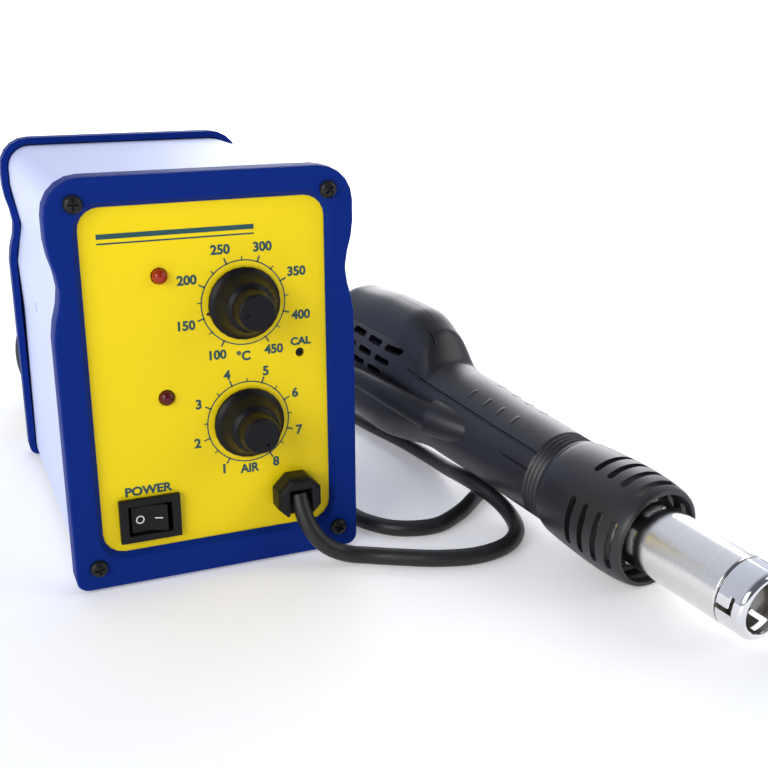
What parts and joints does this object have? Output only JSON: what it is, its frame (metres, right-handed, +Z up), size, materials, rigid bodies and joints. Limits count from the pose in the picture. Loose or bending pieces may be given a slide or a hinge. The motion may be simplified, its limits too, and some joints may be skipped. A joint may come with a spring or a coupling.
{
  "type": "hot air rework station",
  "caption": "Bench hot air rework station: box with two dials, lamps and rocker switch, and a corded hot air handpiece with slotted guard and steel barrel lying beside it.",
  "frame": {"origin": "on the bench, under the middle of the station and its handpiece, cords left out", "axes": "the station's front panel faces -Y, +X runs to the right towards the handpiece, +Z is up"},
  "size_m": [0.1982, 0.3755, 0.1381],
  "materials": {
    "blue_plastic": "moulded blue plastic, satin",
    "cover_paint": "pale lavender-white paint, semi-gloss",
    "panel_paint": "yellow paint with dark teal print, satin",
    "tray_steel": "zinc-plated sheet",
    "rubber": "black flexible PVC, satin",
    "black_steel": "blackened steel",
    "knob_plastic": "black, fairly glossy",
    "black_plastic": "black, satin",
    "handle_plastic": "black-grey, satin with fine grain",
    "steel": "turned stainless",
    "chrome": "bright plated",
    "orange_lens": "orange-red tinted, glossy",
    "red_lens": "dark red tinted, glossy",
    "board": "green solder mask",
    "trimmer_plastic": "blue-grey",
    "core_steel": "varnished laminations",
    "winding_tape": "yellow insulating tape",
    "ceramic": "unglazed ceramic",
    "mica": "silvery brown mica",
    "heat_wire": "oxidised resistance wire"
  },
  "bodies": {
    "root": {"front_bezel": "blue_plastic", "rear_bezel": "blue_plastic", "top_cover": "cover_paint", "front_panel": "panel_paint", "rear_panel": "panel_paint", "base_tray": "tray_steel", "rubber_foot_1": "rubber", "rubber_foot_2": "rubber", "rubber_foot_3": "rubber", "rubber_foot_4": "rubber", "lead_boot": "rubber", "mains_boot": "rubber", "handpiece_lead": "rubber", "mains_cord": "rubber", "mains_coil": "rubber", "plug_cord": "rubber", "mains_plug": "rubber", "front_bezel_screw_1": "black_steel", "front_bezel_screw_2": "black_steel", "front_bezel_screw_3": "black_steel", "front_bezel_screw_4": "black_steel", "rear_bezel_screw_1": "black_steel", "rear_bezel_screw_2": "black_steel", "rear_bezel_screw_3": "black_steel", "rear_bezel_screw_4": "black_steel", "handle_screw_1": "black_steel", "handle_screw_2": "black_steel", "handle_screw_3": "black_steel", "switch_housing": "black_plastic", "lead_gland": "black_plastic", "gland_nut": "black_plastic", "fuse_holder": "black_plastic", "blower_housing": "black_plastic", "left_handle_shell": "handle_plastic", "right_handle_shell": "handle_plastic", "barrel_guard": "handle_plastic", "temperature_potentiometer": "steel", "air_potentiometer": "steel", "transformer_strap": "steel", "barrel": "steel", "blower_motor": "steel", "nozzle_collar": "chrome", "heater_lamp": "orange_lens", "power_lamp": "red_lens", "circuit_board": "board", "heater_terminal_board": "board", "calibration_trimmer": "trimmer_plastic", "transformer_core": "core_steel", "transformer_winding": "winding_tape", "heater_core": "ceramic", "mica_sleeve": "mica", "heater_coil": "heat_wire"},
    "temperature_dial": {"temperature_knob": "knob_plastic", "temperature_shaft": "steel"},
    "air_dial": {"air_knob": "knob_plastic", "air_shaft": "steel"},
    "rocker": {"power_rocker": "black_plastic"},
    "trimmer_screw": {"calibration_screw": "black_plastic"},
    "impeller": {"blower_impeller": "black_plastic"}
  },
  "joints": [
    {"name": "temperature_knob_turn", "type": "hinge", "parent": "root", "child": "temperature_dial", "pos_m": [-0.03751, -0.02436, 0.09411], "axis": [0, 1, 0], "range_deg": [-49, 251]},
    {"name": "air_knob_turn", "type": "hinge", "parent": "root", "child": "air_dial", "pos_m": [-0.03751, -0.02436, 0.05251], "axis": [0, 1, 0], "range_deg": [-300, 0]},
    {"name": "power_rocker_tilt", "type": "hinge", "parent": "root", "child": "rocker", "pos_m": [-0.07321, -0.02336, 0.02341], "axis": [0, 0, 1], "range_deg": [0, 16]},
    {"name": "calibration_screw_turn", "type": "hinge", "parent": "root", "child": "trimmer_screw", "pos_m": [-0.01841, -0.02436, 0.07491], "axis": [0, 1, 0], "range_deg": [-135, 135]},
    {"name": "blower_spin", "type": "hinge", "parent": "root", "child": "impeller", "pos_m": [0.05315, 0.06185, 0.03945], "axis": [0.9859, 0.1672, 0], "continuous": true}
  ]
}
